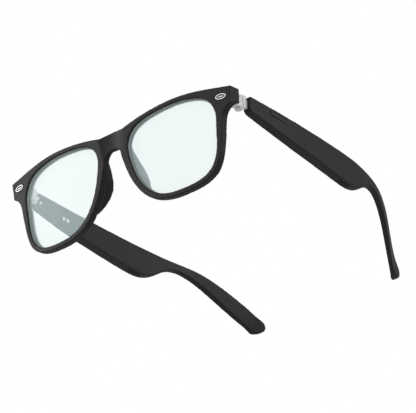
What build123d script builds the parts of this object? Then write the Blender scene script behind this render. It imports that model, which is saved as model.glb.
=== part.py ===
from build123d import *
import math
import os

os.makedirs("parts", exist_ok=True)

# ---------------------------------------------------------------- sizes (mm)
# The glasses are drawn in the "front" frame first: X to the wearer's left,
# Y from the front towards the ears, Z along the height of the front.
# place() then tips them back so that both rims and both ear tips stand on z = 0.
HALF_WIDTH = 73.0        # half width over the end pieces
BASE_RADIUS = 444.0      # radius of the front's base curve
BASE_SAG = 6.0           # how far the bridge stands ahead of the end pieces
RIM_DEPTH = 3.8          # front to back of the rims
END_DEPTH = 7.0          # front to back of an end piece
LENS_SETBACK = 1.3       # front of the rim to front of the lens
LENS_THICK = 1.9
LENS_LIP = 0.6           # how far the lens edge runs into its groove
FIT = 0.03               # gap round bonded and trapped pieces
SCOOP_RADIUS = 15.3      # hollow across the front of the bridge
SCOOP_DEPTH = 2.4

PIVOT_X, PIVOT_Y = 68.6, 10.6     # hinge pivot, in plan
PIN_R = 0.70
BORE_R = 0.74
KNUCKLE_R = 1.75
KNUCKLE_H = 1.24
KNUCKLE_GAP = 0.10
BARREL_TOP = -1.30

TEMPLE_SLOPE = 8.5       # temple against the front, degrees
TEMPLE_FRONT = 14.6      # front end of the temple, along the temple
TEMPLE_TOP = 0.55        # height of the temple's top edge
SHELL_WALL = 1.2
COVER_THICK = 1.0
KEY_TRAVEL = 0.30

STAND_TILT = 3.0087       # degrees
STAND_SHIFT = (0.0, -76.566, 46.655)

YC = BASE_RADIUS - BASE_SAG       # centre of the base curve


def place(shape):
    return Pos(*STAND_SHIFT) * (Rot(X=STAND_TILT) * shape)


def to_front(shape):
    """temple frame to front frame"""
    return Rot(X=-TEMPLE_SLOPE) * (Pos(0, 0, TEMPLE_TOP) * shape)


def flip(shape):
    return mirror(shape, about=Plane.YZ)


def xz_face(edges):
    return make_face(Wire(edges))


def prism_xz(face, y0, y1):
    """face drawn in X and Z, made solid between y0 and y1"""
    return Pos(0, y0, 0) * extrude(face, amount=y1 - y0, dir=(0, 1, 0))


def prism_xy(face, z0, z1):
    return Pos(0, 0, z0) * extrude(face, amount=z1 - z0, dir=(0, 0, 1))


def prism_yz(face, x0, x1):
    return Pos(x0, 0, 0) * extrude(face, amount=x1 - x0, dir=(1, 0, 0))


def p3(pts):
    return [(x, 0, z) for x, z in pts]


def box(x0, x1, y0, y1, z0, z1):
    return Pos((x0 + x1) / 2, (y0 + y1) / 2, (z0 + z1) / 2) * Box(x1 - x0, y1 - y0, z1 - z0)


def cyl_z(x, y, z0, z1, r):
    return Pos(x, y, (z0 + z1) / 2) * Cylinder(r, z1 - z0)


def cyl_x(x0, x1, y, z, r):
    return Pos((x0 + x1) / 2, y, z) * (Rot(Y=90) * Cylinder(r, x1 - x0))


def cyl_y(x, y0, y1, z, r):
    return Pos(x, (y0 + y1) / 2, z) * (Rot(X=90) * Cylinder(r, y1 - y0))


# ---------------------------------------------------------------- front frame
# outline of the front, right half, from the middle of the bridge round to
# the nose arch
BRIDGE_TOP = (0, 1.25)
CORNER = (7.9, -0.2)
BROW = [CORNER, (15, 1.45), (24.1, 3.05), (34, 4.05), (44, 4.2), (53, 3.4), (63, 1.75), (73, 0)]
END_LOW = (72.3, -8.9)
RIM_OUT = [END_LOW, (69.8, -10.4), (67.9, -12.9), (66.8, -17.0), (66.1, -22), (65.0, -28.5),
           (63.3, -35), (59.8, -40.9), (54.4, -44.3), (48.0, -45.9), (41.5, -46.4), (35, -46.4),
           (28.4, -45.3), (21.6, -42.4), (15.8, -36.9), (11.3, -30.0), (8.3, -23.1), (6.4, -17.1), (5.2, -12.6)]
ARCH = [(5.2, -12.6), (3.4, -9.7), (0, -8.3)]

APERTURE = [(63.2, -16), (62.4, -26.3), (60.8, -34.2), (57.0, -39.8), (50.2, -42.9), (43, -43.8), (35.5, -43.8),
            (27.3, -41.9), (19.6, -36.4), (13.9, -27.5), (10.7, -17), (10.2, -9), (13.6, -3.4),
            (20.5, -0.2), (30, 1.3), (41, 1.7), (51, 0.3), (58.3, -2.7), (62.2, -8.2)]


def half_edges(sign):
    m = lambda pts: [(sign * x, 0, z) for x, z in pts]
    return [Spline(*m(BROW)), Line(*m([BROW[-1], END_LOW])), Spline(*m(RIM_OUT))]


def grow(pts, d):
    """points moved outwards by d, square to the closed curve through them"""
    out = []
    n = len(pts)
    for i in range(n):
        (x0, z0), (x1, z1) = pts[i - 1], pts[(i + 1) % n]
        tx, tz = x1 - x0, z1 - z0
        l = math.hypot(tx, tz)
        out.append((pts[i][0] + d * tz / l * GROW_SIGN, pts[i][1] - d * tx / l * GROW_SIGN))
    return out


def closed_face(pts, sign=1):
    return make_face(Wire([Spline(*[(sign * x, 0, z) for x, z in pts], periodic=True)]))


area = sum(APERTURE[i - 1][0] * APERTURE[i][1] - APERTURE[i][0] * APERTURE[i - 1][1] for i in range(len(APERTURE)))
GROW_SIGN = 1 if area > 0 else -1
bridge_top = Spline((-CORNER[0], 0, CORNER[1]), (0, 0, BRIDGE_TOP[1]), (CORNER[0], 0, CORNER[1]))
arch = Spline(*[(x, 0, z) for x, z in ARCH], *[(-x, 0, z) for x, z in ARCH[-2::-1]])
outline = xz_face([bridge_top] + half_edges(1) + [arch] + half_edges(-1))
lens_face = closed_face(grow(APERTURE, LENS_LIP))

blank = prism_xz(outline, -14, 14)
front = blank & (Pos(0, YC, -22) * Cylinder(BASE_RADIUS, 140))
front = front - (Pos(0, YC, -22) * Cylinder(BASE_RADIUS - RIM_DEPTH, 150))
for sign in (1, -1):
    front = front - prism_xz(closed_face(APERTURE, sign), -14, 14)
for sign in (1, -1):
    groove = prism_xz(closed_face(grow(APERTURE, LENS_LIP + FIT), sign), -14, 14)
    groove = groove & (Pos(0, YC, -22) * Cylinder(BASE_RADIUS - LENS_SETBACK + FIT, 140))
    groove = groove - (Pos(0, YC, -22) * Cylinder(BASE_RADIUS - LENS_SETBACK - LENS_THICK - FIT, 150))
    front = front - groove
# end pieces: thicker blocks behind the outer ends of the front
end_plan = make_face(Polyline((64.7, 1.0, 0), (74, 1.6, 0), (74, END_DEPTH, 0), (67.4, END_DEPTH, 0),
                              (64.7, 3.6, 0), close=True))
end_block = prism_xy(end_plan, -7.6, 3) & blank
# the middle of the bridge runs further back than the rims
bridge_plan = make_face(Wire([ThreePointArc((-13, -2.6, 0), (0, 0.9, 0), (13, -2.6, 0)),
                              Line((13, -2.6, 0), (13, -3.6, 0)), Line((13, -3.6, 0), (-13, -3.6, 0)),
                              Line((-13, -3.6, 0), (-13, -2.6, 0))]))
bridge_zone = make_face(Polyline((-12, 0, 3), (12, 0, 3), (11, 0, -1), (9.0, 0, -6), (8.4, 0, -7.2),
                                 (-8.4, 0, -7.2), (-9.0, 0, -6), (-11, 0, -1), close=True))
bridge_block = prism_xy(bridge_plan, -14, 3) & blank & prism_xz(bridge_zone, -10, 5)
front = front + end_block
front = front + flip(end_block)
front = front + bridge_block
# scoop across the bridge, deeper at the top than at the nose arch
scoop = Pos(0, -BASE_SAG + SCOOP_DEPTH - SCOOP_RADIUS, 0) * (Rot(X=-5.0) * Cylinder(SCOOP_RADIUS, 60))
front = front - scoop

# oval recess for the inlay on each end piece, square to the front there
RIVET_X, RIVET_Z = 67.3, -4.2
rivet_y = YC - math.sqrt(BASE_RADIUS**2 - RIVET_X**2)
rivet_yaw = math.degrees(math.asin(RIVET_X / BASE_RADIUS))
RIVET_A, RIVET_B = 3.1, 1.45


def marquise(a, b, y0, y1):
    f = make_face(Wire([Spline((-a, 0, 0), (-a * 0.55, 0, b * 0.86), (0, 0, b), (a * 0.55, 0, b * 0.86), (a, 0, 0)),
                        Spline((a, 0, 0), (a * 0.55, 0, -b * 0.86), (0, 0, -b), (-a * 0.55, 0, -b * 0.86), (-a, 0, 0))]))
    s = prism_xz(f, y0, y1)
    return Pos(RIVET_X, rivet_y, RIVET_Z) * (Rot(Z=rivet_yaw) * (Rot(Y=4) * s))


front = front - marquise(RIVET_A + FIT, RIVET_B + FIT, -2, 0.9) - flip(marquise(RIVET_A + FIT, RIVET_B + FIT, -2, 0.9))
# a rim and a narrow centre rib stand proud of the groove in the inlay
rivet = marquise(RIVET_A, RIVET_B, -0.16, 0.85) - marquise(RIVET_A - 0.62, RIVET_B - 0.46, -0.6, 0.42)
rivet = rivet + marquise(RIVET_A - 1.25, 0.30, -0.10, 0.5)

# ---------------------------------------------------------------- front hinge leaf
Z = BARREL_TOP
spans = []
for i in range(5):
    spans.append((Z - KNUCKLE_H, Z))
    Z -= KNUCKLE_H + KNUCKLE_GAP
BARREL_LOW = spans[-1][0]
LEAF_Z0, LEAF_Z1 = BARREL_LOW, BARREL_TOP


def ear(z0, z1, y_to):
    """one knuckle with its web, reaching from the pivot to y_to"""
    body = cyl_z(PIVOT_X, PIVOT_Y, z0, z1, KNUCKLE_R)
    y0, y1 = min(PIVOT_Y, y_to), max(PIVOT_Y, y_to)
    return body + box(PIVOT_X - 1.3, PIVOT_X + 1.3, y0, y1, z0, z1)


front_leaf = box(PIVOT_X - 3.2, PIVOT_X + 2.6, END_DEPTH - 1.3, END_DEPTH + 0.05, LEAF_Z0, LEAF_Z1)
for i in (0, 2, 4):
    front_leaf = front_leaf + ear(*spans[i], END_DEPTH)
front_leaf = front_leaf - cyl_z(PIVOT_X, PIVOT_Y, -20, 5, BORE_R)
# a thin plate outside the knuckles closes the gap from the outer side
front_leaf = front_leaf + box(PIVOT_X + 2.0, PIVOT_X + 2.6, END_DEPTH - 0.05, PIVOT_Y + 0.3, LEAF_Z0, LEAF_Z1)
pocket = box(PIVOT_X - 3.2 - FIT, PIVOT_X + 2.6 + FIT, END_DEPTH - 1.3 - FIT, END_DEPTH + 1, LEAF_Z0 - FIT, LEAF_Z1 + FIT)
front = front - pocket - flip(pocket)
# two small screws hold the leaf to the end piece, beside the knuckles
FS_R, FS_HEAD_R = 0.35, 0.62
fs_pos = [(PIVOT_X - 2.35, spans[1][0] + KNUCKLE_H / 2), (PIVOT_X - 2.35, spans[3][0] + KNUCKLE_H / 2)]
front_screws = []
for sx, sz in fs_pos:
    shank = cyl_y(sx, END_DEPTH - 3.6, END_DEPTH - 0.35, sz, FS_R)
    head = cyl_y(sx, END_DEPTH - 0.42, END_DEPTH + 0.02, sz, FS_HEAD_R)
    slot = box(sx - 0.5, sx + 0.5, END_DEPTH - 0.12, END_DEPTH + 0.2, sz - 0.08, sz + 0.08)
    front_screws.append((shank + head) - slot)
    hole = cyl_y(sx, END_DEPTH - 3.7, END_DEPTH + 0.5, sz, FS_R + 0.03)
    sink = cyl_y(sx, END_DEPTH - 0.45, END_DEPTH + 0.5, sz, FS_HEAD_R + 0.03)
    front_leaf = front_leaf - hole - sink
    front = front - hole - flip(hole)

# pivot screw: slotted head over the top knuckle, plain shank, flat nut below
pivot_screw = (cyl_z(PIVOT_X, PIVOT_Y, BARREL_LOW - 0.15, BARREL_TOP + 0.05, PIN_R)
               + cyl_z(PIVOT_X, PIVOT_Y, BARREL_LOW - 0.60, BARREL_LOW - 0.04, 1.95)
               + cyl_z(PIVOT_X, PIVOT_Y, BARREL_TOP + 0.03, BARREL_TOP + 0.55, 1.3))
pivot_screw = pivot_screw - box(PIVOT_X - 1.4, PIVOT_X + 1.4, PIVOT_Y - 0.16, PIVOT_Y + 0.16, BARREL_TOP + 0.3, BARREL_TOP + 1)

# ---------------------------------------------------------------- temple hinge leaf
TL_X0, TL_X1 = 69.35, 71.35
TL_Y1 = 23.0
LEAF_TOP = -3.6          # top of the leaf where it lies inside the temple
temple_leaf = box(TL_X0, TL_X1, 13.1, TL_Y1, LEAF_Z0, LEAF_TOP)
temple_leaf = temple_leaf + box(TL_X0, TL_X1, 13.1, 13.9, LEAF_Z0, LEAF_Z1)
temple_leaf = temple_leaf + box(PIVOT_X + 2.0, TL_X1, 11.2, 13.2, LEAF_Z0, LEAF_Z1)
for i in (1, 3):
    temple_leaf = temple_leaf + ear(*spans[i], 13.4)
# the block is relieved round the front leaf's knuckles
for i in (0, 2, 4):
    temple_leaf = temple_leaf - cyl_z(PIVOT_X, PIVOT_Y, spans[i][0] - KNUCKLE_GAP, spans[i][1] + KNUCKLE_GAP, KNUCKLE_R + 0.3)
temple_leaf = temple_leaf - cyl_z(PIVOT_X, PIVOT_Y, -20, 5, BORE_R)

# ---------------------------------------------------------------- temple body
# plan of the outer face and thickness along the temple
OUTER = [(14.6, 73.3), (45, 74.2), (75, 73.75), (98, 72.1), (118, 67.6), (140, 58.0), (150, 52.3), (157, 49.0), (161.5, 47.7), (166, 46.4)]
THICK = [(14.6, 4.5), (45, 5.3), (75, 5.3), (98, 4.8), (118, 3.7), (140, 3.2), (150, 2.7), (157, 3.2), (161.5, 4.5), (166, 5.0)]


def plan_band(in_off, out_off, y0=None, y1=None):
    """closed plan shape between the inner face moved out by in_off and the
    outer face moved in by out_off"""
    outer = [(x - out_off, y, 0) for y, x in OUTER]
    inner = [(x - t + in_off, y, 0) for (y, x), (_, t) in zip(OUTER, THICK)]
    e1 = Spline(*outer)
    e2 = Spline(*inner)
    return make_face(Wire([e1, Line(outer[-1], inner[-1]), e2, Line(inner[0], outer[0])]))


TOP_EDGE = [(95, 0), (106, -0.35), (118, -0.95), (128, -2.7), (138, -7.2), (148, -14.0), (156, -20.5), (160.6, -25.0)]
TIP = [(160.6, -25.0), (162.4, -28.0), (161.9, -30.6), (159.0, -31.9), (154.0, -29.9)]
LOW_EDGE = [(154.0, -29.9), (149, -26.0), (140, -18.2), (131, -10.9), (124, -7.0), (117.5, -5.35), (111.5, -6.3),
            (105.5, -10.1), (99.5, -13.8), (92.5, -15.6), (84, -15.5), (66, -14.0), (42, -11.8), (19, -8.8)]


def yz(pts):
    return [(0, y, z) for y, z in pts]


side_edges = [
    Line(*yz([(TEMPLE_FRONT + 0.8, 0), (95, 0)])),
    Spline(*yz(TOP_EDGE), tangents=[(0, 1, 0), (0, 0.7, -0.71)]),
    Spline(*yz(TIP), tangents=[(0, 0.7, -0.71), (0, -0.8, 0.6)]),
    Spline(*yz(LOW_EDGE), tangents=[(0, -0.8, 0.6), (0, -1, 0.13)]),
    Spline(*yz([(19, -8.8), (TEMPLE_FRONT + 1.0, -7.8), (TEMPLE_FRONT, -5.4)]), tangents=[(0, -1, 0.13), (0, 0, 1)]),
    Line(*yz([(TEMPLE_FRONT, -5.4), (TEMPLE_FRONT, -0.8)])),
    ThreePointArc(*yz([(TEMPLE_FRONT, -0.8), (TEMPLE_FRONT + 0.24, -0.24), (TEMPLE_FRONT + 0.8, 0)])),
]
side_face = make_face(Wire(side_edges))
temple_body = prism_xy(plan_band(0, 0), -45, 10) & prism_yz(side_face, 35, 85)

# cavity for the electronics, open to the inner side, and the cover's seat
CAVITY = [(26, -1.7), (97, -1.7), (100, -4.5), (97.5, -11.6), (92, -13.5), (84, -13.55), (66, -12.15), (42, -10.0), (26, -7.85)]
SEAT = [(24.6, -0.75), (98.4, -0.75), (101.6, -4.4), (98.7, -12.4), (92.4, -14.55), (84, -14.6), (66, -13.15), (42, -11.0), (24.6, -8.75)]


def inset(pts, d):
    return make_face(offset(Polyline(*yz(pts), close=True), amount=-d, kind=Kind.INTERSECTION))


cavity_face = make_face(Polyline(*yz(CAVITY), close=True))
seat_face = make_face(Polyline(*yz(SEAT), close=True))
cover_face = inset(SEAT, 0.05)
cavity = prism_yz(cavity_face, 40, 85) & prism_xy(plan_band(0, SHELL_WALL), -45, 10)
seat = prism_yz(seat_face, 40, 85) & prism_xy(plan_band(-3, 0), -45, 10)
seat = seat - prism_xy(plan_band(COVER_THICK + FIT, -8), -45, 10)
shell = temple_body - cavity - seat
cover = (prism_yz(cover_face, 40, 85) & temple_body) - prism_xy(plan_band(COVER_THICK, -8), -45, 10)

# pocket for the hinge leaf (drawn square to the front, so it is turned back)
leaf_pocket = box(TL_X0 - FIT, TL_X1 + FIT, 10, TL_Y1 + FIT, LEAF_Z0 - FIT, LEAF_TOP + FIT)
to_temple = lambda s: Pos(0, 0, -TEMPLE_TOP) * (Rot(X=TEMPLE_SLOPE) * s)
shell = shell - to_temple(leaf_pocket)


def x_at(table, y):
    for (y0, x0), (y1, x1) in zip(table, table[1:]):
        if y0 <= y <= y1:
            return x0 + (x1 - x0) * (y - y0) / (y1 - y0)


def outer_x(y):
    return x_at(OUTER, y)


def inner_x(y):
    return outer_x(y) - x_at(THICK, y)


# leaf screw, driven from the inner side through shell and leaf
TS = [(17.1, -5.2)]
temple_screws = []
for sy, sz in TS:
    sx = inner_x(sy) + 0.1
    shank = cyl_x(sx + 0.3, 71.2, sy, sz, 0.45)
    head = cyl_x(sx - 0.18, sx + 0.35, sy, sz, 0.8)
    slot = box(sx - 0.5, sx - 0.02, sy - 0.6, sy + 0.6, sz - 0.1, sz + 0.1)
    temple_screws.append((shank + head) - slot)
    shell = shell - cyl_x(sx + 0.2, 71.3, sy, sz, 0.48) - cyl_x(60, sx + 0.38, sy, sz, 0.83)
    temple_leaf_hole = to_front(cyl_x(66, 71.3, sy, sz, 0.48))
    temple_leaf = temple_leaf - temple_leaf_hole

# core wire in the ear tip: a flat metal strip along the temple's bend
wire_top = [(104, -2.6), (112, -2.9), (120, -3.4), (128, -5.4), (136, -10.6), (144, -16.6), (152, -23.6)]
wire_low = [(150.6, -24.9), (143.4, -18.6), (136, -12.6), (127.4, -7.3), (119.8, -4.9), (112, -4.3), (104, -4.1)]
wire_face = make_face(Wire([Spline(*yz(wire_top)), Line(*yz([wire_top[-1], wire_low[0]])),
                            Spline(*yz(wire_low)), Line(*yz([wire_low[-1], wire_top[0]]))]))
core_wire = prism_yz(wire_face, 35, 85) & prism_xy(plan_band(0.9, 0.9), -45, 10)
wire_bore = prism_yz(wire_face, 35, 85) & prism_xy(plan_band(0.87, 0.87), -45, 10)
shell = shell - wire_bore

# ---------------------------------------------------------------- inside a temple
# each piece sits in the cavity, clear of shell and cover
def slab_between(face, deep, shallow):
    """layer of the cavity between two depths under the outer face"""
    far = [(x - deep, y, 0) for y, x in OUTER]
    near = [(x - shallow, y, 0) for y, x in OUTER]
    band = make_face(Wire([Spline(*near), Line(near[-1], far[-1]), Spline(*far), Line(far[0], near[0])]))
    return prism_yz(face, 40, 85) & prism_xy(band, -45, 10)


def rect(y0, y1, z0, z1):
    return make_face(Polyline(*yz([(y0, z0), (y1, z0), (y1, z1), (y0, z1)]), close=True))


board_face = make_face(Polyline(*yz([(27, -2.2), (49, -2.2), (49, -9.6), (42, -9.4), (27, -7.6)]), close=True))
board = slab_between(board_face, 3.8, 3.15)
chip = slab_between(rect(42.5, 48, -8, -3.6), 3.12, 2.1)
battery = slab_between(rect(52, 82, -10.6, -2.4), 4.0, SHELL_WALL + 0.3)
speaker = slab_between(rect(83.5, 95, -12.3, -4.0), 3.55, SHELL_WALL + 0.3)
GRILLE_Y0, GRILLE_Y1 = 85.0, 93.0
SX = (inner_x(89) + outer_x(89)) / 2
shell = shell - box(SX - 0.9 - FIT, SX + 0.9 + FIT, GRILLE_Y0 - FIT, GRILLE_Y1 + FIT, -18, -13.1)
grille = temple_body & box(SX - 0.9, SX + 0.9, GRILLE_Y0, GRILLE_Y1, -17, -14.55)
for k in range(6):
    gy = GRILLE_Y0 + 1.0 + k * 1.2
    grille = grille - cyl_z(SX, gy, -20, -10, 0.36)
mic = slab_between(rect(29, 32.4, -7.6, -6.1), 3.12, 2.1)
# sound hole of the microphone, through the lower edge
MIC_HOLE = cyl_z(outer_x(30.7) - 2.6, 30.7, -14, -7.4, 0.4)
shell = shell - MIC_HOLE

# charging contacts in the cover, and the magnet between board and cover
CONTACTS = [(34.2, -7.1), (37.1, -7.1)]
CONTACT_R = 1.05
contacts = []
for cy, cz in CONTACTS:
    cx = inner_x(cy)
    pin = cyl_x(cx - 0.12, cx + COVER_THICK + 0.18, cy, cz, CONTACT_R)
    contacts.append(pin)
    cover = cover - cyl_x(cx - 2, cx + 3, cy, cz, CONTACT_R + 0.03)
magnet = cyl_x(inner_x(41.5) + COVER_THICK + 0.06, inner_x(41.5) + COVER_THICK + 0.48, 45.8, -5.8, 2.0)
# screw that closes the cover, near the hinge
CS = (26.6, -4.9)
cs_x = inner_x(CS[0])
cover_screw = cyl_x(cs_x - 0.02, cs_x + 0.5, *CS, 1.0) + cyl_x(cs_x + 0.4, cs_x + 3.2, *CS, 0.5)
cover_screw = cover_screw - (Pos(cs_x, CS[0], CS[1]) * (Rot(Y=90) * extrude(RegularPolygon(0.42, 6), amount=0.35, both=True)))
cover = cover - cyl_x(cs_x - 1, cs_x + 0.53, *CS, 1.03) - cyl_x(cs_x, cs_x + 3, *CS, 0.53)
# boss in the shell that the cover screw bites into
boss = cyl_x(cs_x + COVER_THICK + 0.08, outer_x(CS[0]) - 0.6, *CS, 1.25)
boss = boss & prism_xy(plan_band(COVER_THICK + 0.06, 0.5), -45, 10)
shell = shell + boss - cyl_x(cs_x, cs_x + 3.25, *CS, 0.53)
board = board - cyl_x(60, 80, *CS, 1.6)
board = board & box(60, 80, 28.4, 60, -20, 5)

# ---------------------------------------------------------------- function key, wearer's left temple
KEY_Y0, KEY_Y1, KEY_Z, KEY_R = 29.2, 41.2, -2.75, 1.15


def capsule(y0, y1, zc, r, x0, x1):
    body = box(x0, x1, y0 + r, y1 - r, zc - r, zc + r)
    return body + cyl_x(x0, x1, y0 + r, zc, r) + cyl_x(x0, x1, y1 - r, zc, r)


ko = outer_x(35)
key_window = capsule(KEY_Y0 - 0.07, KEY_Y1 + 0.07, KEY_Z, KEY_R + 0.07, ko - 1.6, ko + 2)
key = capsule(KEY_Y0, KEY_Y1, KEY_Z, KEY_R, ko - 1.30, ko + 0.10)
key = key + capsule(KEY_Y0 + 1, KEY_Y1 - 1, KEY_Z, 0.75, ko - 1.75, ko - 1.2)
switch = box(ko - 2.95, ko - 2.45, 33.6, 36.8, KEY_Z - 1.1, KEY_Z + 0.5)
dome = Pos(ko - 2.42, 35.2, KEY_Z - 0.1) * (Rot(Y=90) * Cone(0.72, 0.4, 0.28, align=(Align.CENTER, Align.CENTER, Align.MIN)))

shell_left = shell - key_window
shell_right = shell

# ---------------------------------------------------------------- nose pad
# section by section up the nose: a fin behind the inner side of the rim
PAD = [  # z, nasal x at the rim, temporal x at the rim, nasal x at the back, temporal x at the back, back y
    (-10.4, 7.0, 9.6, 7.4, 9.2, -1.0),
    (-13.0, 6.7, 10.2, 7.0, 9.9, 0.5),
    (-17.0, 6.9, 11.2, 7.4, 11.0, 2.1),
    (-21.0, 8.0, 12.6, 8.1, 12.2, 3.6),
    (-25.0, 9.4, 14.3, 9.2, 13.6, 4.2),
    (-29.0, 11.2, 16.1, 11.0, 15.2, 3.5),
    (-33.0, 13.6, 18.0, 13.5, 16.8, 1.9),
    (-36.2, 16.2, 19.6, 16.1, 18.6, -0.2),
]
PAD_FRONT = -2.6
sections = []
for z, xa, xb, xc, xd, yb in PAD:
    ym = (PAD_FRONT + yb) / 2
    xm, xk = (xc + xd) / 2, (xa + xb) / 2
    pts = [(xk, PAD_FRONT, z), (xb, PAD_FRONT + 0.06, z), ((xb + xd) / 2 + 0.1, ym, z), (xd - 0.1, yb - 0.25, z), (xm, yb, z),
           (xc + 0.1, yb - 0.25, z), ((xa + xc) / 2 - 0.1, ym, z), (xa, PAD_FRONT + 0.06, z)]
    sections.append(make_face(Polyline(*pts, close=True)))
pad = loft(sections, ruled=True)
pad = pad & (Pos(0, YC, -22) * Cylinder(BASE_RADIUS - RIM_DEPTH - FIT, 140))

# ---------------------------------------------------------------- lens
lens = prism_xz(lens_face, -14, 14) & (Pos(0, YC, -22) * Cylinder(BASE_RADIUS - LENS_SETBACK, 140))
lens = lens - (Pos(0, YC, -22) * Cylinder(BASE_RADIUS - LENS_SETBACK - LENS_THICK, 150))

# ---------------------------------------------------------------- write the nodes
nodes = {}


def pair(name, shape, in_temple=False):
    s = shape if isinstance(shape, list) else [shape]
    s = [to_front(q) for q in s] if in_temple else s
    nodes[name + "_left"] = [place(q) for q in s]
    nodes[name + "_right"] = [place(flip(q)) for q in s]


nodes["front_frame"] = [place(front)]
pair("lens", lens)
pair("nose_pad", pad)
pair("rivet_inlay", rivet)
pair("hinge_front_leaf", front_leaf)
pair("hinge_front_screws", front_screws)
pair("hinge_pivot_screw", pivot_screw)
pair("hinge_temple_leaf", temple_leaf)
pair("hinge_temple_screw", temple_screws, True)
nodes["temple_shell_left"] = [place(to_front(shell_left))]
nodes["temple_shell_right"] = [place(flip(to_front(shell_right)))]
pair("inner_cover", cover, True)
pair("cover_screw", cover_screw, True)
pair("core_wire", core_wire, True)
pair("circuit_board", board, True)
pair("processor_can", chip, True)
pair("battery", battery, True)
pair("speaker", speaker, True)
pair("speaker_grille", grille, True)
pair("microphone", mic, True)
pair("charge_contacts", contacts, True)
pair("charge_magnet", magnet, True)
nodes["function_key"] = [place(to_front(key))]
nodes["key_switch"] = [place(to_front(switch))]
nodes["key_dome"] = [place(to_front(dome))]

lo, hi = [1e9] * 3, [-1e9] * 3
for name, shapes in nodes.items():
    solids = []
    for s in shapes:
        solids += list(s.solids())
    shape = solids[0] if len(solids) == 1 else Compound(solids)
    export_step(shape, f"parts/{name}.step")
    bb = shape.bounding_box()
    for i, (a, b) in enumerate(zip(tuple(bb.min), tuple(bb.max))):
        lo[i], hi[i] = min(lo[i], a), max(hi[i], b)
print("nodes", len(nodes), "low", [round(v, 3) for v in lo], "high", [round(v, 3) for v in hi])
# pivot of the left hinge in the row frame, and direction of its axis
pv = place(Pos(PIVOT_X, PIVOT_Y, (BARREL_TOP + BARREL_LOW) / 2) * Sphere(0.1)).center()
t = math.radians(STAND_TILT)
print("pivot", [round(v, 3) for v in tuple(pv)], "axis", [0, round(-math.sin(t), 6), round(math.cos(t), 6)])
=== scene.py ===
import bpy, bmesh, math
from mathutils import Vector, Matrix


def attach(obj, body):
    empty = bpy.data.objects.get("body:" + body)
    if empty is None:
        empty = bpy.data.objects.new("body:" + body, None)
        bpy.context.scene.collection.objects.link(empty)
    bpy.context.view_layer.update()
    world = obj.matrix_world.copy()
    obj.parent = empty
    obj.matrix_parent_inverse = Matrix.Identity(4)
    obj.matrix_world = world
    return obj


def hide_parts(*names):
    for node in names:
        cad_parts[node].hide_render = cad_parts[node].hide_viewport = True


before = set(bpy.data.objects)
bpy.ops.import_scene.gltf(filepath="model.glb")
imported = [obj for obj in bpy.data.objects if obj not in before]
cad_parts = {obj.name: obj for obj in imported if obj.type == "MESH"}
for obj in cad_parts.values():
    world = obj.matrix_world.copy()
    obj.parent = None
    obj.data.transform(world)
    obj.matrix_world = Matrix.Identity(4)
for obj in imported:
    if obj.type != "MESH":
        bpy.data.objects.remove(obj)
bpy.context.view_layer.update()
scene = bpy.context.scene
scene.view_settings.view_transform = "Standard"
scene.view_settings.look = "None"
scene.view_settings.exposure = 0.0
scene.view_settings.gamma = 1.0
MM = 0.001

# ------------------------------------------------------------------ camera
right = Vector((0.751508, 0.656948, -0.060458))
down = Vector((-0.325984, 0.290102, -0.899764))
fwd = Vector((-0.573559, 0.695888, 0.432169))
cd = bpy.data.cameras.new("camera")
cam = bpy.data.objects.new("camera", cd)
scene.collection.objects.link(cam)
m = Matrix((right, -down, -fwd)).transposed().to_4x4()
m.translation = Vector((0.98491, -1.20558, -0.71276))
cam.matrix_world = m
cd.sensor_width = 36.0
cd.lens = 294.235
cd.clip_start = 0.05
cd.clip_end = 50
scene.camera = cam


# ------------------------------------------------------------------ materials
def new_mat(name):
    mat = bpy.data.materials.new(name)
    mat.use_nodes = True
    nt = mat.node_tree
    for n in list(nt.nodes):
        nt.nodes.remove(n)
    out = nt.nodes.new("ShaderNodeOutputMaterial")
    b = nt.nodes.new("ShaderNodeBsdfPrincipled")
    nt.links.new(b.outputs[0], out.inputs[0])
    return mat, nt, b


def coords(nt):
    tc = nt.nodes.new("ShaderNodeTexCoord")
    return tc.outputs["Object"]


def noise(nt, vec, scale, detail=3.0, rough=0.5):
    n = nt.nodes.new("ShaderNodeTexNoise")
    n.inputs["Scale"].default_value = scale
    n.inputs["Detail"].default_value = detail
    n.inputs["Roughness"].default_value = rough
    nt.links.new(vec, n.inputs["Vector"])
    return n.outputs["Fac"]


def ramp(nt, fac, stops):
    r = nt.nodes.new("ShaderNodeValToRGB")
    e = r.color_ramp.elements
    while len(e) > 1:
        e.remove(e[-1])
    e[0].position, e[0].color = stops[0][0], (*stops[0][1], 1)
    for p, c in stops[1:]:
        q = e.new(p)
        q.color = (*c, 1)
    nt.links.new(fac, r.inputs[0])
    return r.outputs[0]


def maprange(nt, fac, a, b, lo, hi):
    n = nt.nodes.new("ShaderNodeMapRange")
    n.inputs[1].default_value, n.inputs[2].default_value = a, b
    n.inputs[3].default_value, n.inputs[4].default_value = lo, hi
    nt.links.new(fac, n.inputs[0])
    return n.outputs[0]


def bump(nt, height, strength, dist, normal=None):
    n = nt.nodes.new("ShaderNodeBump")
    n.inputs["Strength"].default_value = strength
    n.inputs["Distance"].default_value = dist
    nt.links.new(height, n.inputs["Height"])
    if normal is not None:
        nt.links.new(normal, n.inputs["Normal"])
    return n.outputs[0]


def mixcol(nt, fac, a, b, mode="MIX"):
    n = nt.nodes.new("ShaderNodeMix")
    n.data_type = "RGBA"
    n.blend_type = mode
    if isinstance(fac, float):
        n.inputs[0].default_value = fac
    else:
        nt.links.new(fac, n.inputs[0])
    for v, i in ((a, 6), (b, 7)):
        if isinstance(v, tuple):
            n.inputs[i].default_value = (*v, 1)
        else:
            nt.links.new(v, n.inputs[i])
    return n.outputs[2]


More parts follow.
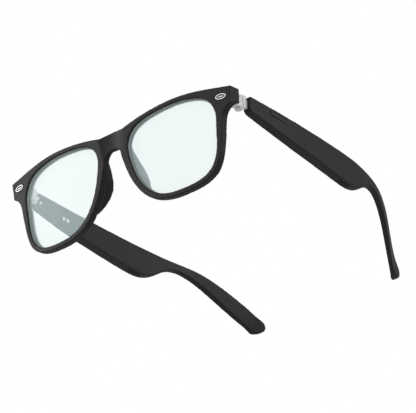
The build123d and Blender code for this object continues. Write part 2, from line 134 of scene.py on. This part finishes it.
def matt_plastic(name, dark, light, rough=(0.42, 0.56), grain=0.00009, edge=0.35):
    """moulded plastic with a fine spark-eroded grain, slight clouding and polished edges"""
    mat, nt, b = new_mat(name)
    vec = coords(nt)
    cloud = noise(nt, vec, 55, 4, 0.55)
    fine = noise(nt, vec, 1900, 2, 0.6)
    base = ramp(nt, cloud, [(0.3, dark), (0.72, light)])
    speck = ramp(nt, fine, [(0.42, dark), (0.75, tuple(min(1, v * 1.45) for v in light))])
    col = mixcol(nt, 0.35, base, speck)
    geo = nt.nodes.new("ShaderNodeNewGeometry")
    worn = ramp(nt, geo.outputs["Pointiness"], [(0.53, (0, 0, 0)), (0.62, (1, 1, 1))])
    wornf = nt.nodes.new("ShaderNodeMath")
    wornf.operation = "MULTIPLY"
    wornf.inputs[1].default_value = edge
    nt.links.new(worn, wornf.inputs[0])
    col = mixcol(nt, wornf.outputs[0], col, tuple(v * 1.9 for v in light))
    nt.links.new(col, b.inputs["Base Color"])
    r = maprange(nt, cloud, 0.25, 0.75, rough[0], rough[1])
    nt.links.new(r, b.inputs["Roughness"])
    h = noise(nt, vec, 2600, 3, 0.65)
    bb = bump(nt, h, 0.45, grain)
    h2 = noise(nt, vec, 260, 2, 0.5)
    bb = bump(nt, h2, 0.12, 0.0002, bb)
    nt.links.new(bb, b.inputs["Normal"])
    b.inputs["Specular IOR Level"].default_value = 0.36
    return mat


def metal(name, col, rough=0.22, brush=(1, 1, 14), scale=900, bumpd=0.00002, metallic=1.0):
    mat, nt, b = new_mat(name)
    vec = coords(nt)
    mp = nt.nodes.new("ShaderNodeMapping")
    mp.inputs["Scale"].default_value = brush
    nt.links.new(vec, mp.inputs["Vector"])
    n = noise(nt, mp.outputs[0], scale, 3, 0.6)
    c = ramp(nt, n, [(0.2, tuple(v * 0.86 for v in col)), (0.8, col)])
    nt.links.new(c, b.inputs["Base Color"])
    b.inputs["Metallic"].default_value = metallic
    r = maprange(nt, n, 0.2, 0.8, rough * 0.75, rough * 1.3)
    nt.links.new(r, b.inputs["Roughness"])
    nt.links.new(bump(nt, n, 0.25, bumpd), b.inputs["Normal"])
    return mat


M_FRAME = matt_plastic("frame_plastic", (0.0045, 0.0045, 0.0048), (0.0085, 0.0085, 0.009))
M_TEMPLE = matt_plastic("temple_plastic", (0.007, 0.007, 0.0075), (0.012, 0.012, 0.013), rough=(0.45, 0.6))
M_KEY = matt_plastic("key_plastic", (0.008, 0.008, 0.0085), (0.013, 0.013, 0.014), rough=(0.42, 0.55))
M_GRILLE_AND_GROOVE_SHADE = matt_plastic("grille_plastic", (0.005, 0.005, 0.0055), (0.010, 0.010, 0.011), rough=(0.5, 0.65))
M_CHROME = metal("inlay_chrome", (0.50, 0.505, 0.51), 0.26, (1, 1, 1), 700)
# near-white and hardly metallic: a painted reflection standing in for the shine of polished hinge metal; the key
# dome shares it
M_HINGE_PAINTED_REFLECTION = metal("hinge_metal", (0.98, 0.98, 0.975), 0.32, metallic=0.15)
M_SCREW = metal("screw_steel", (0.92, 0.92, 0.92), 0.34, (6, 6, 1), metallic=0.3)
# near-white and hardly metallic: a painted reflection standing in for the shine of the plated pins
M_CONTACT_PAINTED_REFLECTION = metal("contact_plating", (0.99, 0.985, 0.965), 0.35, (1, 1, 1), 600, metallic=0.05)
M_BLACK = metal("blackened_screw", (0.03, 0.03, 0.032), 0.4, (6, 6, 1))
M_CAN = metal("can_metal", (0.7, 0.7, 0.71), 0.3)
M_FOIL = metal("battery_foil", (0.75, 0.76, 0.78), 0.35, (1, 1, 1), 300)


def board_mat():
    mat, nt, b = new_mat("board")
    vec = coords(nt)
    v = nt.nodes.new("ShaderNodeTexVoronoi")
    v.inputs["Scale"].default_value = 900
    nt.links.new(vec, v.inputs["Vector"])
    c = ramp(nt, v.outputs["Distance"], [(0.15, (0.02, 0.12, 0.05)), (0.5, (0.03, 0.2, 0.09))])
    nt.links.new(c, b.inputs["Base Color"])
    b.inputs["Roughness"].default_value = 0.3
    return mat


M_BOARD = board_mat()


def lens_mat_with_painted_glow():
    mat, nt, b = new_mat("lens")
    vec = coords(nt)
    n = noise(nt, vec, 22, 2, 0.5)
    c = ramp(nt, n, [(0.3, (0.74, 0.94, 0.925)), (0.7, (0.80, 0.965, 0.95))])
    nt.links.new(c, b.inputs["Base Color"])
    a = maprange(nt, n, 0.3, 0.7, 0.225, 0.25)
    nt.links.new(a, b.inputs["Alpha"])
    b.inputs["Roughness"].default_value = 0.05
    b.inputs["IOR"].default_value = 1.5
    b.inputs["Specular IOR Level"].default_value = 0.12
    # the lens glows faintly: painted light standing in for the pale veil the studio light throws on it
    b.inputs["Emission Color"].default_value = (0.88, 1.0, 0.99, 1)
    b.inputs["Emission Strength"].default_value = 0.27
    return mat


M_LENS_PAINTED_GLOW = lens_mat_with_painted_glow()


# ------------------------------------------------------------------ meshes
def world_mesh(node):
    """the mesh of a CAD node, as it is at rest"""
    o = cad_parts[node]
    me = o.data.copy()
    me.transform(o.matrix_world)
    return me


def soften(name, sources, voxel, smooth, mat, body, factor=0.5, decimate=None):
    """one closed skin round the CAD solids, with its edges eased"""
    bm = bmesh.new()
    for n in sources:
        me = world_mesh(n)
        bm.from_mesh(me)
        bpy.data.meshes.remove(me)
    me = bpy.data.meshes.new(name)
    bm.to_mesh(me)
    bm.free()
    o = bpy.data.objects.new(name, me)
    scene.collection.objects.link(o)
    rm = o.modifiers.new("remesh", "REMESH")
    rm.mode = "VOXEL"
    rm.voxel_size = voxel
    rm.use_smooth_shade = True
    sm = o.modifiers.new("smooth", "SMOOTH")
    sm.factor = factor
    sm.iterations = smooth
    dg = bpy.context.evaluated_depsgraph_get()
    ev = o.evaluated_get(dg)
    done = bpy.data.meshes.new_from_object(ev)
    o.modifiers.clear()
    o.data = done
    bpy.data.meshes.remove(me)
    done.name = name
    # a voxel mesh of touching solids can hold sealed shells; all pieces are kept
    for p in done.polygons:
        p.use_smooth = True
    done.materials.clear()
    done.materials.append(mat)
    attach(o, body)
    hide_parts(*sources)
    return o


front = soften("front_skin", ["front_frame", "nose_pad_left", "nose_pad_right"], 0.00032, 7, M_FRAME, "front")

# behind each lens the rim closes in a little: the lip that the lens rests on
APERTURE = [(63.2, -16), (62.4, -26.3), (60.8, -34.2), (57.0, -39.8), (50.2, -42.9), (43, -43.8), (35.5, -43.8),
            (27.3, -41.9), (19.6, -36.4), (13.9, -27.5), (10.7, -17), (10.2, -9), (13.6, -3.4),
            (20.5, -0.2), (30, 1.3), (41, 1.7), (51, 0.3), (58.3, -2.7), (62.2, -8.2)]
TILT, SHIFT = math.radians(3.0087), (0.0, -76.566, 46.655)


def smooth_loop(pts, k=6):
    out, n = [], len(pts)
    for i in range(n):
        a, b, c, d = (pts[(i + j - 1) % n] for j in range(4))
        for q in range(k):
            t = q / k
            out.append(tuple(0.5 * (2 * b[m] + (c[m] - a[m]) * t + (2 * a[m] - 5 * b[m] + 4 * c[m] - d[m]) * t * t
                                    + (3 * b[m] - a[m] - 3 * c[m] + d[m]) * t ** 3) for m in (0, 1)))
    return out


LOOP = smooth_loop(APERTURE)
CENTRE = (36.5, -20.0)


def lip(obj, reach):
    ct, st = math.cos(TILT), math.sin(TILT)
    grid = {}
    for i, (x, z) in enumerate(LOOP):
        for dx in (-1, 0, 1):
            for dz in (-1, 0, 1):
                grid.setdefault((int(x // 3) + dx, int(z // 3) + dz), []).append(i)
    for v in obj.data.vertices:
        x, y, z = v.co.x / MM, v.co.y / MM - SHIFT[1], v.co.z / MM - SHIFT[2]
        yf, zf = y * ct + z * st, -y * st + z * ct
        depth = 444.0 - math.hypot(x, yf - 438.0)
        if depth < 3.0 or depth > 4.4:
            continue
        ax = abs(x)
        near = grid.get((int(ax // 3), int(zf // 3)))
        if not near:
            continue
        i = min(near, key=lambda j: (LOOP[j][0] - ax) ** 2 + (LOOP[j][1] - zf) ** 2)
        (x0, z0), (x1, z1) = LOOP[i - 1], LOOP[(i + 1) % len(LOOP)]
        l = math.hypot(x1 - x0, z1 - z0)
        nx, nz = (z1 - z0) / l, -(x1 - x0) / l
        if (CENTRE[0] - LOOP[i][0]) * nx + (CENTRE[1] - LOOP[i][1]) * nz < 0:
            nx, nz = -nx, -nz
        d = (ax - LOOP[i][0]) * nx + (zf - LOOP[i][1]) * nz      # how far inside the opening
        w = max(0.0, min(1.0, (d + 1.3) / 1.2))
        w = w * w * (3 - 2 * w) * max(0.0, min(1.0, (depth - 3.0) / 0.4))
        if w <= 0:
            continue
        # widest on the temple side, where the rim is deepest
        side = max(0.0, min(1.0, (ax - 50.0) / 11.0))
        k = (0.35 + 0.65 * side) * reach * w
        ax += nx * k
        zf += nz * k
        x = math.copysign(ax, x)
        y, z = yf * ct - zf * st, yf * st + zf * ct
        v.co = Vector((x, y + SHIFT[1], z + SHIFT[2])) * MM




def round_tip(obj):
    """ease the end of the ear tip into a fuller, rounder bulb"""
    me = obj.data
    a, b = math.cos(math.radians(38)), math.sin(math.radians(38))
    along = [v.co.y * a - v.co.z * b for v in me.vertices]
    end = max(along)
    last = [v.co.x for v, s in zip(me.vertices, along) if s > end - 1.5 * MM]
    back = [v.co.x for v, s in zip(me.vertices, along) if end - 9.5 * MM < s < end - 8.0 * MM]
    x1, x0 = (min(last) + max(last)) / 2, (min(back) + max(back)) / 2
    for v, s in zip(me.vertices, along):
        t = (s - (end - 8.7 * MM)) / (8.0 * MM)
        if t <= 0:
            continue
        t = min(1.0, t)
        w = t * t * (3 - 2 * t)
        cx = x0 + (x1 - x0) * t
        v.co.x = cx + (v.co.x - cx) * (1 + 0.26 * w)
    bm = bmesh.new()
    bm.from_mesh(me)
    bm.verts.ensure_lookup_table()
    for reach, times in ((3.2, 26), (1.8, 26)):
        sel = [v for v, s in zip(bm.verts, along) if s > end - reach * MM]
        for _ in range(times):
            bmesh.ops.smooth_vert(bm, verts=sel, factor=0.5, use_axis_x=True, use_axis_y=True, use_axis_z=True)
    bm.to_mesh(me)
    bm.free()


lip(front, 1.0)
for side in ("left", "right"):
    t = soften("temple_skin_" + side, ["temple_shell_" + side, "inner_cover_" + side], 0.00028, 16, M_TEMPLE, "temple_" + side)
    round_tip(t)


def paint(node, mat):
    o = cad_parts[node]
    o.data.materials.clear()
    o.data.materials.append(mat)


PAINT = {
    "lens": M_LENS_PAINTED_GLOW, "rivet_inlay": M_CHROME, "hinge_front_leaf": M_HINGE_PAINTED_REFLECTION, "hinge_front_screws": M_SCREW,
    "hinge_pivot_screw": M_SCREW, "hinge_temple_leaf": M_HINGE_PAINTED_REFLECTION, "hinge_temple_screw": M_SCREW,
    "cover_screw": M_SCREW, "core_wire": M_CAN, "circuit_board": M_BOARD, "processor_can": M_CAN,
    "battery": M_FOIL, "speaker": M_GRILLE_AND_GROOVE_SHADE, "speaker_grille": M_GRILLE_AND_GROOVE_SHADE, "microphone": M_CAN,
    "charge_contacts": M_CONTACT_PAINTED_REFLECTION, "charge_magnet": M_CAN,
}
for base, mat in PAINT.items():
    for side in ("left", "right"):
        paint(f"{base}_{side}", mat)
for side in ("left", "right"):
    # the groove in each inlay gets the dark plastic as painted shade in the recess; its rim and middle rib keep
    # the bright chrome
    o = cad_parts["rivet_inlay_" + side]
    o.data.materials.append(M_GRILLE_AND_GROOVE_SHADE)
    ct, st = math.cos(TILT), math.sin(TILT)
    yaw = math.asin(67.3 / 444.0)
    y0 = 438.0 - math.sqrt(444.0 ** 2 - 67.3 ** 2)
    for p in o.data.polygons:
        c = Vector()
        for i in p.vertices:
            c += o.matrix_world @ o.data.vertices[i].co
        c /= len(p.vertices)
        y, z = c.y / MM - SHIFT[1], c.z / MM - SHIFT[2]
        dx, dy, dz = abs(c.x / MM) - 67.3, y * ct + z * st - y0, -y * st + z * ct + 4.2
        u, v = dx * math.cos(yaw) + dy * math.sin(yaw), -dx * math.sin(yaw) + dy * math.cos(yaw)
        u, w = u * math.cos(math.radians(4)) - dz * math.sin(math.radians(4)), u * math.sin(math.radians(4)) + dz * math.cos(math.radians(4))
        inside = (u / 2.62) ** 2 + (w / 1.08) ** 2 < 1.0
        if inside and -0.13 < v < 0.6 and not (v < -0.05 and abs(w) < 0.32):
            p.material_index = 1
    paint("cover_screw_" + side, M_BLACK)
paint("function_key", M_KEY)
paint("key_switch", M_GRILLE_AND_GROOVE_SHADE)
paint("key_dome", M_HINGE_PAINTED_REFLECTION)

# ------------------------------------------------------------------ stage
fm = bpy.data.meshes.new("floor")
bm = bmesh.new()
bmesh.ops.create_grid(bm, x_segments=8, y_segments=8, size=9.0)
bm.to_mesh(fm)
bm.free()
floor = bpy.data.objects.new("floor", fm)
floor.location = (0, 0, -2.4)
scene.collection.objects.link(floor)
mat, nt, b = new_mat("floor_paper")
vec = coords(nt)
nt.links.new(ramp(nt, noise(nt, vec, 3, 3), [(0.3, (0.93, 0.93, 0.93)), (0.7, (0.97, 0.97, 0.97))]), b.inputs["Base Color"])
b.inputs["Roughness"].default_value = 0.8
fm.materials.append(mat)

w = bpy.data.worlds.new("studio")
scene.world = w
w.use_nodes = True
bg = w.node_tree.nodes["Background"]
bg.inputs[0].default_value = (1, 1, 1, 1)
bg.inputs[1].default_value = 1.0
# seen directly the backdrop is white; the light it throws is dimmer
lp = w.node_tree.nodes.new("ShaderNodeLightPath")
dim = w.node_tree.nodes.new("ShaderNodeBackground")
dim.inputs[0].default_value = (1, 1, 1, 1)
dim.inputs[1].default_value = 0.42
mx = w.node_tree.nodes.new("ShaderNodeMixShader")
w.node_tree.links.new(lp.outputs["Is Camera Ray"], mx.inputs[0])
w.node_tree.links.new(dim.outputs[0], mx.inputs[1])
w.node_tree.links.new(bg.outputs[0], mx.inputs[2])
w.node_tree.links.new(mx.outputs[0], w.node_tree.nodes["World Output"].inputs[0])


def area(name, loc, target, size, power, size_y=None):
    ld = bpy.data.lights.new(name, "AREA")
    ld.shape = "RECTANGLE"
    ld.size = size
    ld.size_y = size_y or size
    ld.energy = power
    o = bpy.data.objects.new(name, ld)
    scene.collection.objects.link(o)
    o.location = loc
    d = Vector(target) - Vector(loc)
    o.rotation_euler = d.to_track_quat("-Z", "Y").to_euler()
    return o


area("key_light", (-1.72, -1.2, 0.8), (-0.02, -0.06, 0.03), 1.2, 11.5)
area("front_light", (-0.28, -1.93, 0.9), (0.0, -0.06, 0.03), 1.0, 5.0)
area("side_light", (1.93, 0.55, 0.95), (0.03, 0.0, 0.03), 1.5, 14.5)
